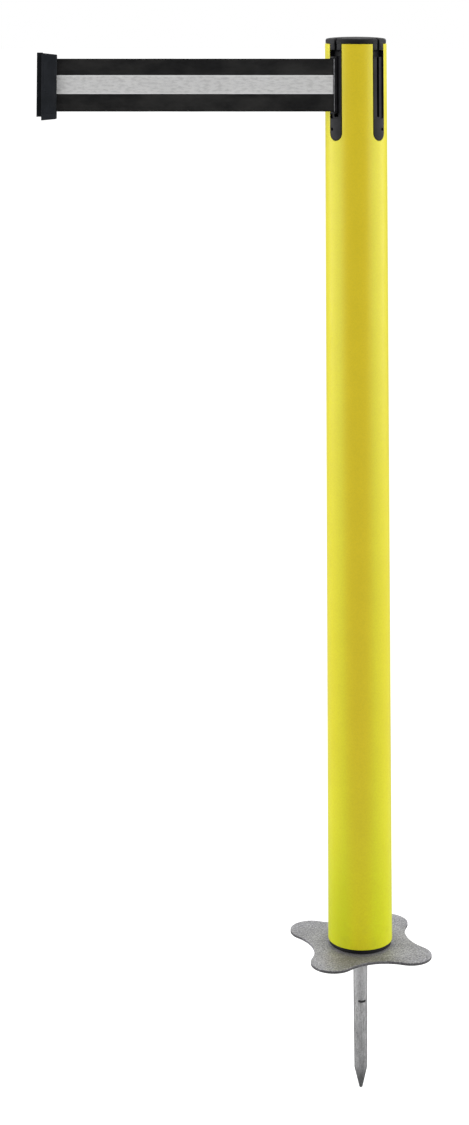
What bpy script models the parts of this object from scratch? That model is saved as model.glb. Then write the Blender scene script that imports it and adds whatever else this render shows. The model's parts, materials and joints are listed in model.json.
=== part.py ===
"""A retractable-belt barrier post on a ground spike.

A yellow plastic tube stands on a four-lobed steel plate with a spike under it. The head of the
tube has four slots. A belt on a sprung reel comes out of the front-left one, and the other
three are receivers for the T-rail on a neighbour's belt clip.

Units are metres. +Z is up and the post's axis is the Z axis. The origin is the spike's tip, and
GROUND is the height of the plate's underside, down to which the spike is driven. The belt leaves
along -X. Heights in the head are given below the tube's top.
"""

import math

import bmesh
import bpy
from mathutils import Matrix

MM = 0.001
GAP = 0.3 * MM  # left between pieces that touch

# Ground spike, with the stud that the post screws on to
SPIKE_LENGTH = 128.5 * MM
SPIKE_TOP_R = 6.75 * MM
SPIKE_LOW_R = 6.0 * MM
SPIKE_TIP_R = 1.6 * MM
CONE_LENGTH = 18.5 * MM
NOTCH_BELOW_PLATE = 49.3 * MM
NOTCH_R = 1.2 * MM
NOTCH_DISTANCE = 5.75 * MM  # from the spike's axis to the middle of the round cutter
WELD_LEG = 3.4 * MM
STUD_R = 5.0 * MM
STUD_HEIGHT = 33 * MM
GROUND = SPIKE_LENGTH

# Tube: nominal 2 in schedule 40 plastic pipe
TUBE_R = 30.15 * MM
TUBE_WALL = 3.9 * MM
BORE_R = TUBE_R - TUBE_WALL
PLATE_T = 2.5 * MM
FLANGE_H = 3.2 * MM
TUBE_BOTTOM = GROUND + PLATE_T + FLANGE_H + 2 * GAP
TUBE_TOP = GROUND + 845.3 * MM

# Base plate: four lobes joined by hollow sides
LOBE_CENTRE = 52.5 * MM
LOBE_R = 20.5 * MM
WAIST = 46.4 * MM
PLATE_TURN = math.radians(-31.8)
WELD_RECESS = 0.4 * MM  # machined under the plate, round the spike
WELD_RECESS_R = SPIKE_TOP_R + WELD_LEG + 2 * MM

# Slots in the head, and the four places round the post
SLOT_W = 15.4 * MM
SLOT_DEPTH = 93 * MM
EXIT_ANGLE = math.radians(225)
FRONT_RIGHT_ANGLE = math.radians(315)
BACK_RIGHT_ANGLE = math.radians(45)
BACK_LEFT_ANGLE = math.radians(135)
SLOT_ANGLES = (EXIT_ANGLE, FRONT_RIGHT_ANGLE, BACK_RIGHT_ANGLE, BACK_LEFT_ANGLE)

# Receivers: distances from the post's axis, along the slot's own direction
RECEIVER_FACE = 30.45 * MM
RECEIVER_BACK = 22.4 * MM
LIP_FRONT = 28.8 * MM  # the lips follow the tube's curve
LIP_BACK = 26.0 * MM
CHANNEL_BACK = 24.2 * MM
CHANNEL_W = 10 * MM
NECK_W = 3.3 * MM
RECESS_HALF = 6.8 * MM
WING_HALF = 8.6 * MM
RECEIVER_TOP = 6.1 * MM
LIPS_TOP = 12.6 * MM
CHANNEL_END = 70.2 * MM
DETENT_DEPTH = 82 * MM
DETENT_SIDE = 4.4 * MM
DETENT_R = 1.5 * MM

# Belt and reel; depths are below the tube's top
BELT_T = 0.45 * MM
BELT_UP = 14.0 * MM
BELT_LOW = 64.8 * MM
ROLL_R = 17.4 * MM
HUB_R = 7.0 * MM
AXLE_R = 3.5 * MM
FLANGE_R = 19.0 * MM
SHELL_R = 19.6 * MM
SHELL_WALL = 1.2 * MM
MOUTH = 24.6 * MM  # where the belt turns outwards through the exit
PIVOT_DISTANCE = 33.6 * MM  # from the post's axis to the vertical line that the belt swings about
PIVOT = (PIVOT_DISTANCE * math.cos(EXIT_ANGLE), PIVOT_DISTANCE * math.sin(EXIT_ANGLE))
BRAKE_PIVOT = 14 * MM

# Clip, from its belt side to the end of its T-rail
CLIP_X = -290.5 * MM
CLIP_BODY = 14.7 * MM
CLIP_T = 8.4 * MM
RAIL_NECK = 3.5 * MM
RAIL_HEAD = 0.9 * MM
RAIL_TOP = 8.1 * MM
RAIL_LOW = 69.7 * MM


def below(depth):
    """The height that is this far below the tube's top."""
    return TUBE_TOP - depth


# ---------------------------------------------------------------- scene and looks


def clear_scene():
    for obj in list(bpy.data.objects):
        bpy.data.objects.remove(obj, do_unlink=True)


def new_collection(name):
    collection = bpy.data.collections.new(name)
    bpy.context.scene.collection.children.link(collection)
    return collection


def look(name, colour, roughness, metallic=0.0):
    material = bpy.data.materials.new(name)
    material.use_nodes = True
    surface = material.node_tree.nodes["Principled BSDF"]
    surface.inputs["Base Color"].default_value = (*colour, 1)
    surface.inputs["Roughness"].default_value = roughness
    surface.inputs["Metallic"].default_value = metallic
    return material


clear_scene()
POST = new_collection("belt_barrier_post")
CUTTERS = new_collection("cutters")

YELLOW = (0.82, 0.72, 0.06)
BLACK = (0.035, 0.035, 0.04)
GREY_BLACK = (0.075, 0.08, 0.095)
STEEL = (0.42, 0.42, 0.43)
BRIGHT = (0.62, 0.62, 0.64)
BRONZE = (0.45, 0.28, 0.12)


def place(name, mesh, colour, roughness=0.5, metallic=0.0):
    """A named piece of the post, with its own material."""
    mesh.materials.clear()
    mesh.materials.append(look(name, colour, roughness, metallic))
    obj = bpy.data.objects.new(name, mesh)
    POST.objects.link(obj)
    return obj


def helper(name, mesh):
    """A cutter, or a shape that is joined on to a piece."""
    obj = bpy.data.objects.new(name, mesh)
    CUTTERS.objects.link(obj)
    obj.display_type = "WIRE"
    obj.hide_render = True
    return obj


def anchor(name, location, parent=None):
    """An empty that holds the pieces of one moving body."""
    empty = bpy.data.objects.new(name, None)
    POST.objects.link(empty)
    empty.location = location
    empty.parent = parent
    return empty


def combine(obj, other, operation):
    step = obj.modifiers.new(f"{operation.lower()} {other.name}", "BOOLEAN")
    step.operation = operation
    step.solver = "EXACT"
    step.object = other


def cut(obj, *others):
    for other in others:
        combine(obj, other, "DIFFERENCE")


def join(obj, *others):
    for other in others:
        combine(obj, other, "UNION")


def soften(obj, width, segments=2):
    bevel = obj.modifiers.new("soft edges", "BEVEL")
    bevel.width = width
    bevel.segments = segments
    bevel.limit_method = "ANGLE"
    bevel.angle_limit = math.radians(40)


def turn(obj, angle):
    """Turns a piece, or a cutter, round the post's axis."""
    obj.rotation_euler.z = angle
    return obj


# ---------------------------------------------------------------- shapes


def block(low, high):
    """A box between two corners."""
    shape = bmesh.new()
    bmesh.ops.create_cube(shape, size=1)
    size = [h - l for l, h in zip(low, high)]
    middle = [(h + l) / 2 for l, h in zip(low, high)]
    fit = Matrix.Translation(middle) @ Matrix.Diagonal((*size, 1))
    bmesh.ops.transform(shape, matrix=fit, verts=shape.verts)
    mesh = bpy.data.meshes.new("block")
    shape.to_mesh(mesh)
    shape.free()
    return mesh


def rod(radius, low, high, centre=(0, 0), segments=24):
    """An upright cylinder between two heights."""
    shape = bmesh.new()
    bmesh.ops.create_cone(
        shape, cap_ends=True, segments=segments, radius1=radius, radius2=radius, depth=high - low
    )
    bmesh.ops.translate(shape, vec=(*centre, (low + high) / 2), verts=shape.verts)
    mesh = bpy.data.meshes.new("rod")
    shape.to_mesh(mesh)
    shape.free()
    mesh.shade_smooth()
    mesh.set_sharp_from_angle(angle=math.radians(40))
    return mesh


def turned(name, profile, colour, roughness=0.5, metallic=0.0, ring=False, segments=48):
    """A piece turned round the Z axis. The profile runs down the outer side, and a ring's closes."""
    mesh = bpy.data.meshes.new("profile")
    edges = [(i, i + 1) for i in range(len(profile) - 1)]
    if ring:
        edges.append((len(profile) - 1, 0))
    mesh.from_pydata([(r, 0, z) for r, z in profile], edges, [])
    obj = place(name, mesh, colour, roughness, metallic)
    screw = obj.modifiers.new("turn", "SCREW")
    screw.steps = segments
    screw.render_steps = segments
    screw.use_merge_vertices = True
    screw.merge_threshold = 0.00001
    screw.use_smooth_shade = True
    return obj


def sleeve(name, inner, outer, top, bottom, colour, roughness=0.5, metallic=0.0, segments=48):
    """A plain ring between two radii and two heights."""
    profile = [(inner, top), (outer, top), (outer, bottom), (inner, bottom)]
    return turned(name, profile, colour, roughness, metallic, ring=True, segments=segments)


def flat(outline, thickness):
    """A flat outline in X and Y as a solid from z = 0 up to its thickness."""
    curve = bpy.data.curves.new("outline", "CURVE")
    curve.dimensions = "2D"
    curve.fill_mode = "BOTH"
    curve.extrude = thickness / 2
    spline = curve.splines.new("POLY")
    spline.points.add(len(outline) - 1)
    for point, (x, y) in zip(spline.points, outline):
        point.co = (x, y, 0, 1)
    spline.use_cyclic_u = True
    guide = bpy.data.objects.new("outline", curve)
    CUTTERS.objects.link(guide)
    bpy.context.view_layer.update()
    mesh = bpy.data.meshes.new_from_object(guide.evaluated_get(bpy.context.evaluated_depsgraph_get()))
    bpy.data.objects.remove(guide)
    shape = bmesh.new()
    shape.from_mesh(mesh)
    bmesh.ops.remove_doubles(shape, verts=shape.verts, dist=0.000001)
    bmesh.ops.translate(shape, vec=(0, 0, thickness / 2), verts=shape.verts)
    bmesh.ops.recalc_face_normals(shape, faces=shape.faces)
    shape.to_mesh(mesh)
    shape.free()
    return mesh


def raised(mesh, height):
    mesh.transform(Matrix.Translation((0, 0, height)))
    return mesh


def upright(outline, near, far):
    """An outline in Y and Z as a solid that runs along X from near to far."""
    mesh = flat(outline, far - near)
    stand = Matrix(((0, 0, 1, near), (1, 0, 0, 0), (0, 1, 0, 0), (0, 0, 0, 1)))
    mesh.transform(stand)
    return mesh


def sideways(outline, near, far):
    """An outline in X and Z as a solid that runs along Y from near to far."""
    mesh = flat(outline, far - near)
    lay = Matrix(((1, 0, 0, 0), (0, 0, -1, far), (0, 1, 0, 0), (0, 0, 0, 1)))
    mesh.transform(lay)
    return mesh


def arc(centre, radius, start, end, steps):
    """Points on an arc, both ends included."""
    return [
        (centre[0] + radius * math.cos(a), centre[1] + radius * math.sin(a))
        for a in (start + (end - start) * i / steps for i in range(steps + 1))
    ]


def slot_outline(width, top, bottom):
    """A slot open at its top, with a round lower end, in Y and Z."""
    radius = width / 2
    return [(radius, top), (-radius, top), *arc((0, bottom + radius), radius, math.pi, 2 * math.pi, 12)]


def ribbon(path, thickness):
    """The outline of a strip that follows a path."""
    sides = ([], [])
    last = len(path) - 1
    for i, (x, y) in enumerate(path):
        before, after = path[max(i - 1, 0)], path[min(i + 1, last)]
        along = math.atan2(after[1] - before[1], after[0] - before[0])
        for side, sign in zip(sides, (1, -1)):
            reach = sign * thickness / 2
            side.append((x - reach * math.sin(along), y + reach * math.cos(along)))
    return sides[0] + sides[1][::-1]


def t_outline(neck, outer):
    """The T-shaped channel seen from above: a wide part behind the lips and a neck between them."""
    half, narrow = CHANNEL_W / 2, neck / 2
    return [
        (CHANNEL_BACK, -half),
        (LIP_BACK, -half),
        (LIP_BACK, -narrow),
        (outer, -narrow),
        (outer, narrow),
        (LIP_BACK, narrow),
        (LIP_BACK, half),
        (CHANNEL_BACK, half),
    ]


def lips_outline(outer):
    """The space in front of the two lips, seen from above."""
    reach = math.asin(RECESS_HALF / LIP_FRONT)
    return [(outer, -RECESS_HALF), (outer, RECESS_HALF), *arc((0, 0), LIP_FRONT, reach, -reach, 12)]


# ---------------------------------------------------------------- base


def plate_outline():
    """Four round lobes, each joined to the next by a hollow arc that meets both smoothly."""
    root2 = math.sqrt(2)
    hollow = (LOBE_CENTRE**2 + WAIST**2 - root2 * LOBE_CENTRE * WAIST - LOBE_R**2) / (
        root2 * LOBE_CENTRE + 2 * LOBE_R - 2 * WAIST
    )
    far = WAIST + hollow
    # direction from a lobe's centre to the hollow arc's centre, measured from the lobe's own direction
    reach_x = far / root2 - LOBE_CENTRE
    spread = math.atan2(far / root2, reach_x)
    points = []
    for quarter in range(4):
        ahead = PLATE_TURN + quarter * math.pi / 2
        lobe = (LOBE_CENTRE * math.cos(ahead), LOBE_CENTRE * math.sin(ahead))
        points += arc(lobe, LOBE_R, ahead - spread, ahead + spread, 14)
        between = ahead + math.pi / 4
        hub = (far * math.cos(between), far * math.sin(between))
        start = ahead + spread + math.pi
        end = ahead + math.pi / 2 - spread - math.pi + 2 * math.pi
        points += arc(hub, hollow, start, end, 8)[1:-1]
    return points


def make_base_plate():
    plate = place("base_plate", raised(flat(plate_outline(), PLATE_T), GROUND), STEEL, 0.42, 0.9)
    cut(
        plate,
        helper("stud_hole", rod(STUD_R + GAP, GROUND - MM, GROUND + PLATE_T + MM)),
        helper("weld_recess", rod(WELD_RECESS_R, GROUND - MM, GROUND + WELD_RECESS)),
    )


def make_ground_spike():
    stud_top = GROUND + STUD_HEIGHT
    shoulder = GROUND - GAP
    profile = [
        (0, stud_top),
        (STUD_R - MM, stud_top),
        (STUD_R, stud_top - MM),
        (STUD_R, shoulder),
        (SPIKE_TOP_R, shoulder),
        (SPIKE_LOW_R, CONE_LENGTH),
        (SPIKE_TIP_R, 0.8 * MM),
        (0.7 * SPIKE_TIP_R, 0),
        (0, 0),
    ]
    spike = turned("ground_spike", profile, STEEL, 0.5, 0.9, segments=32)
    # a ground-in notch across the front of the bar
    notch = rod(NOTCH_R, -9 * MM, 9 * MM, segments=20)
    notch.transform(Matrix.Rotation(math.pi / 2, 4, "Y"))
    notch.transform(Matrix.Translation((0, -NOTCH_DISTANCE, GROUND - NOTCH_BELOW_PLATE)))
    cut(spike, turn(helper("spike_notch", notch), math.radians(14)))


def make_spike_weld():
    inner = SPIKE_TOP_R + GAP
    profile = [
        (inner, GROUND - GAP),
        (inner + WELD_LEG, GROUND - GAP),
        (inner + 0.55 * WELD_LEG, GROUND - 0.45 * WELD_LEG),
        (inner, GROUND - WELD_LEG),
    ]
    turned("spike_weld", profile, (0.3, 0.28, 0.27), 0.6, 0.8, ring=True, segments=32)


def make_bottom_plug():
    floor = GROUND + PLATE_T + GAP
    rim_top = floor + FLANGE_H
    top = GROUND + 42 * MM
    body = BORE_R - GAP
    profile = [
        (STUD_R + 2 * GAP, top),
        (body, top),
        (body, rim_top),
        (TUBE_R - 1.1 * MM, rim_top),
        (TUBE_R - 1.1 * MM, floor),
        (STUD_R + 2 * GAP, floor),
    ]
    plug = turned("bottom_plug", profile, BLACK, 0.6, ring=True)
    nut_seat = GROUND + 15 * MM
    hexagon = 17.7 * MM / math.sqrt(3)
    retainer_seat = nut_seat + 8.6 * MM
    cut(
        plug,
        helper("nut_pocket", rod(hexagon, nut_seat, top + MM, segments=6)),
        helper("retainer_pocket", rod(12 * MM, retainer_seat, top + MM, segments=32)),
    )
    nut_body = rod(17 * MM / math.sqrt(3), nut_seat + GAP, nut_seat + 8.3 * MM, segments=6)
    nut = place("captive_nut", nut_body, BRIGHT, 0.4, 1.0)
    cut(nut, helper("nut_thread", rod(STUD_R + GAP, nut_seat - MM, nut_seat + 10 * MM)))
    sleeve(
        "nut_retainer",
        STUD_R + 2 * GAP,
        12 * MM - GAP,
        retainer_seat + 2.3 * MM,
        retainer_seat + GAP,
        BRIGHT,
        0.45,
        1.0,
        segments=32,
    )


# ---------------------------------------------------------------- tube and receivers


def make_post_tube():
    tube = sleeve("post_tube", BORE_R, TUBE_R, TUBE_TOP, TUBE_BOTTOM, YELLOW, 0.35, segments=64)
    slot = upright(slot_outline(SLOT_W, below(-5 * MM), below(SLOT_DEPTH)), 18 * MM, 36 * MM)
    for number, angle in enumerate(SLOT_ANGLES):
        cut(tube, turn(helper(f"tube_slot_{number}", slot), angle))


def make_receiver(name, angle, detent_side, neck):
    """The moulding that fills one slot: a T-channel behind two lips, and a closed lower end."""
    half_gap = 2 * GAP
    low = below(SLOT_DEPTH) + GAP
    top = below(RECEIVER_TOP)
    outline = slot_outline(SLOT_W - half_gap, top, low)
    body = turn(place(name, upright(outline, RECEIVER_BACK, 34 * MM), BLACK, 0.55), angle)
    rounding = helper(f"{name}_rounding", rod(RECEIVER_FACE, low - MM, top + MM, segments=96))
    combine(body, turn(rounding, angle), "INTERSECT")
    wings = block(
        (RECEIVER_BACK, -WING_HALF, low + 5 * MM),
        (CHANNEL_BACK, WING_HALF, top - 0.5 * MM),
    )
    join(body, turn(helper(f"{name}_wings", wings), angle))
    outside = 36 * MM
    recess_end = CHANNEL_END + 1.5 * MM
    recess = raised(flat(lips_outline(outside), recess_end), below(recess_end))
    pocket = block((CHANNEL_BACK, -RECESS_HALF, below(LIPS_TOP)), (outside, RECESS_HALF, top + MM))
    channel = raised(flat(t_outline(neck, outside), CHANNEL_END), below(CHANNEL_END))
    detent = rod(DETENT_R, 28.5 * MM, outside, segments=16)
    detent.transform(Matrix.Rotation(math.pi / 2, 4, "Y"))
    detent.transform(Matrix.Translation((0, detent_side * DETENT_SIDE, below(DETENT_DEPTH))))
    shapes = (("recess", recess), ("pocket", pocket), ("channel", channel), ("detent", detent))
    for part, shape in shapes:
        cut(body, turn(helper(f"{name}_{part}", shape), angle))
    return body


def make_receivers():
    make_receiver("receiver_front_right", FRONT_RIGHT_ANGLE, 1, NECK_W)
    make_receiver("receiver_back_right", BACK_RIGHT_ANGLE, -1, NECK_W)
    make_receiver("receiver_back_left", BACK_LEFT_ANGLE, 1, NECK_W)
    exit_receiver = make_receiver("exit_receiver", EXIT_ANGLE, -1, 5.4 * MM)
    # the belt reaches the channel from the reel's side, through the back wall
    window = block((20 * MM, -4.4 * MM, below(BELT_LOW + MM)), (25 * MM, 1.4 * MM, below(BELT_UP - MM)))
    cut(exit_receiver, turn(helper("exit_window", window), EXIT_ANGLE))


def make_belt_exit_guide():
    """A mouthpiece in the exit's channel, with two lips that carry the belt clear of the tube."""
    slack = 0.4 * MM
    ear = 1.6 * MM
    low, high = below(BELT_LOW + slack), below(BELT_UP - slack)
    lip_end, ear_end = 31.8 * MM, 34.5 * MM
    half_head, half_neck = CHANNEL_W / 2 - GAP, 2.4 * MM
    outline = [
        (CHANNEL_BACK + GAP, -half_head),
        (LIP_BACK - GAP, -half_head),
        (LIP_BACK - GAP, -half_neck),
        (ear_end, -half_neck),
        (ear_end, half_neck),
        (LIP_BACK - GAP, half_neck),
        (LIP_BACK - GAP, half_head),
        (CHANNEL_BACK + GAP, half_head),
    ]
    body = raised(flat(outline, high - low + 2 * ear), low - ear)
    guide = turn(place("belt_exit_guide", body, BLACK, 0.5), EXIT_ANGLE)
    slit = block((20 * MM, -0.75 * MM, low), (40 * MM, 0.75 * MM, high))
    front = block((lip_end, -4 * MM, low), (40 * MM, 4 * MM, high))
    cut(guide, turn(helper("exit_slit", slit), EXIT_ANGLE), turn(helper("exit_front", front), EXIT_ANGLE))
    for name, side in (("guide_pin_front", 1), ("guide_pin_rear", -1)):
        # behind the swing line, so that the belt clears both pins at either end of its swing
        spot = (PIVOT_DISTANCE - 0.9 * MM, side * 1.2 * MM)
        pin = rod(0.5 * MM, low + GAP, high - GAP, spot, segments=12)
        turn(place(name, pin, BRIGHT, 0.2, 1.0), EXIT_ANGLE)


# ---------------------------------------------------------------- head: cap and cassette


def make_top_cap():
    top, rim, seat, low, core = (below(depth * MM) for depth in (-6.6, -4.4, -0.3, 5.8, 9.3))
    spigot = BORE_R - GAP
    radius = 29.6 * MM
    rise = top - rim
    dome = [
        (0.99 * radius * math.sin(angle), rim + rise * math.cos(angle))
        for angle in (0, 0.35, 0.8, 1.2, 1.45)
    ]
    side = [
        (radius, rim - 0.6 * MM),
        (radius, seat),
        (spigot, seat),
        (spigot, low),
        # a ring that reaches down to the bearing plate, round the axle's top
        (21.5 * MM, low),
        (21.5 * MM, core),
        (7 * MM, core),
        (7 * MM, low),
        (0, low),
    ]
    cap = turned("top_cap", dome + side, BLACK, 0.4, segments=64)
    for number, angle in enumerate(SLOT_ANGLES):
        tab = block((22 * MM, -7.3 * MM, low), (29.2 * MM, 7.3 * MM, below(-2 * MM)))
        join(cap, turn(helper(f"cap_tab_{number}", tab), angle))
    for number, angle in enumerate(SLOT_ANGLES):
        notch = raised(flat(t_outline(NECK_W * 0.8, 36 * MM), 24 * MM), below(12 * MM))
        cut(cap, turn(helper(f"cap_notch_{number}", notch), angle))
    cut(
        cap,
        helper("cap_screw_hole", rod(2.4 * MM, below(10 * MM), below(-10 * MM))),
        helper("cap_screw_seat", rod(4.8 * MM, below(-3.4 * MM), below(-10 * MM))),
    )
    shank_end = below(16 * MM)
    head = below(-3.1 * MM - GAP)
    profile = [
        (0, head + 2 * MM),
        (3.2 * MM, head + 2 * MM),
        (4.2 * MM, head + 1.2 * MM),
        (4.2 * MM, head),
        (1.9 * MM, head),
        (1.9 * MM, shank_end),
        (0, shank_end),
    ]
    screw = turned("cap_screw", profile, BRIGHT, 0.35, 1.0, segments=24)
    drive = rod(1.7 * MM, head + 0.8 * MM, head + 4 * MM, segments=6)
    cut(screw, helper("cap_screw_drive", drive))


def make_axle():
    head_r = 6 * MM
    groove = (8.2 * MM, 9.4 * MM)
    profile = [
        (2.3 * MM, below(6.4 * MM)),
        (AXLE_R, below(6.4 * MM)),
        (AXLE_R, below(groove[0])),
        (AXLE_R - 0.4 * MM, below(groove[0])),
        (AXLE_R - 0.4 * MM, below(groove[1])),
        (AXLE_R, below(groove[1])),
        (AXLE_R, below(88.3 * MM)),
        (head_r, below(88.3 * MM)),
        (head_r, below(90.5 * MM)),
        (0, below(90.5 * MM)),
    ]
    # the tapped hole for the cap's screw closes the profile at the axis
    profile = [(0, below(20 * MM)), (2.3 * MM, below(20 * MM)), *profile]
    turned("centre_axle", profile, BRIGHT, 0.3, 1.0, segments=24)
    inner, outer = AXLE_R - 0.1 * MM, 6.2 * MM
    opening = math.radians(40)
    outline = [
        *arc((0, 0), outer, opening, 2 * math.pi - opening, 28),
        *arc((0, 0), inner, 2 * math.pi - opening, opening, 28),
    ]
    place("axle_clip", raised(flat(outline, 0.7 * MM), below(9.2 * MM)), BRIGHT, 0.35, 1.0)


def make_cassette():
    plate = sleeve(
        "top_bearing_plate", AXLE_R + 0.15 * MM, BORE_R - GAP, below(9.6 * MM), below(12.0 * MM), BLACK, 0.5
    )
    for number, angle in enumerate(SLOT_ANGLES):
        notch = block(
            (RECEIVER_BACK - GAP, -WING_HALF - GAP, below(15 * MM)),
            (36 * MM, WING_HALF + GAP, below(5 * MM)),
        )
        cut(plate, turn(helper(f"plate_notch_{number}", notch), angle))
    shell = sleeve(
        "cassette_shell", SHELL_R, SHELL_R + SHELL_WALL, below(12.3 * MM), below(85.3 * MM), GREY_BLACK, 0.5
    )
    slit = block((10 * MM, -8 * MM, below(BELT_LOW + MM)), (25 * MM, -2 * MM, below(BELT_UP - MM)))
    cut(shell, turn(helper("shell_slit", slit), EXIT_ANGLE))
    outer = SHELL_R + SHELL_WALL
    sleeve("cassette_base", AXLE_R + 0.15 * MM, outer, below(85.6 * MM), below(88.0 * MM), BLACK, 0.5)
    sleeve("brake_drum", 18.0 * MM, 19.3 * MM, below(79.3 * MM), below(85.3 * MM), STEEL, 0.4, 1.0)


# ---------------------------------------------------------------- reel


def make_reel(axis):
    """Everything that turns on the axle with the belt."""
    bore = 5.1 * MM
    cup = (17.4 * MM, 18.6 * MM)
    profile = [
        (bore, below(12.5 * MM)),
        (FLANGE_R, below(12.5 * MM)),
        (FLANGE_R, below(13.5 * MM)),
        (HUB_R, below(13.5 * MM)),
        (HUB_R, below(65.3 * MM)),
        (FLANGE_R, below(65.3 * MM)),
        (FLANGE_R, below(66.5 * MM)),
        (cup[1], below(66.5 * MM)),
        (cup[1], below(77.5 * MM)),
        (cup[0], below(77.5 * MM)),
        (cup[0], below(66.8 * MM)),
        (bore, below(66.8 * MM)),
    ]
    spool = turned("spool", profile, (0.55, 0.55, 0.52), 0.5, ring=True)
    bush_in, bush_out = AXLE_R + 0.15 * MM, bore - GAP
    upper = sleeve("upper_bush", bush_in, bush_out, below(12.8 * MM), below(20 * MM), BRONZE, 0.4, 0.8, 24)
    lower = sleeve("lower_bush", bush_in, bush_out, below(59 * MM), below(66.4 * MM), BRONZE, 0.4, 0.8, 24)
    roll = sleeve("belt_roll", HUB_R + GAP, ROLL_R, below(BELT_UP), below(BELT_LOW), BLACK, 0.8)
    under_cup = below(77.8 * MM)
    cover_low = under_cup - 1.2 * MM
    cover = sleeve("spring_cover", AXLE_R + 0.4 * MM, cup[1], under_cup, cover_low, STEEL, 0.4, 1.0)
    pins = [
        place(
            f"brake_pin_{name}",
            rod(1.2 * MM, below(84.9 * MM), below(79.3 * MM), (side * BRAKE_PIVOT, 0), segments=16),
            BRIGHT,
            0.3,
            1.0,
        )
        for name, side in (("left", -1), ("right", 1))
    ]
    for piece in (spool, upper, lower, roll, cover, *pins):
        piece.parent = axis


def make_power_spring():
    """A flat spiral between the axle and the spool's cup."""
    turns, steps = 5.5, 22
    inner, outer = AXLE_R + 0.75 * MM, 16.8 * MM
    count = int(turns * steps)
    path = []
    for i in range(count + 1):
        radius = inner + (outer - inner) * i / count
        angle = 2 * math.pi * i / steps
        path.append((radius * math.cos(angle), radius * math.sin(angle)))
    mesh = raised(flat(ribbon(path, 0.6 * MM), 9.4 * MM), below(76.7 * MM))
    place("power_spring", mesh, STEEL, 0.3, 1.0)


def make_brake_shoe(name, facing, axis):
    """A shoe that swings out against the drum as the reel runs fast. Its origin is its pivot."""
    outer, inner = 17.4 * MM, 10.8 * MM
    start, end = math.radians(-11), math.radians(112)
    outline = arc((0, 0), outer, start, end, 20) + arc((0, 0), inner, end, start, 14)
    outline = [(x - BRAKE_PIVOT, y) for x, y in outline]
    shoe = place(name, flat(outline, 5 * MM), BRONZE, 0.6)
    hole = helper(f"{name}_hole", rod(1.5 * MM, -MM, 6 * MM, segments=16))
    cut(shoe, hole)
    for piece in (shoe, hole):
        piece.parent = axis
        piece.location = (BRAKE_PIVOT * math.cos(facing), BRAKE_PIVOT * math.sin(facing), below(84.6 * MM))
        piece.rotation_euler.z = facing


# ---------------------------------------------------------------- belt and clip


def make_belt_inner():
    """The belt from the reel, through the back of the exit, to the guide pins."""
    side = ROLL_R / math.sqrt(2)
    along = 3.3 * MM
    path = [
        (side + along, -side + along),
        (MOUTH - 0.5 * MM, -0.5 * MM),
        (MOUTH + 0.1 * MM, -0.12 * MM),
        (MOUTH + 0.8 * MM, 0),
        (PIVOT_DISTANCE - 0.4 * MM, 0),
    ]
    mesh = raised(flat(ribbon(path, BELT_T), BELT_LOW - BELT_UP), below(BELT_LOW))
    turn(place("belt_inner", mesh, BLACK, 0.8), EXIT_ANGLE)


def make_belt_webbing(pivot):
    """The belt from the guide pins to the clip. It grows longer as the clip is drawn out."""
    start, end = -0.45 * MM, CLIP_X - PIVOT[0] - 0.7 * MM
    mesh = block((end, -BELT_T / 2, below(BELT_LOW)), (start, BELT_T / 2, below(BELT_UP)))
    webbing = place("belt_webbing", mesh, BLACK, 0.8)
    webbing.parent = pivot


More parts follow.
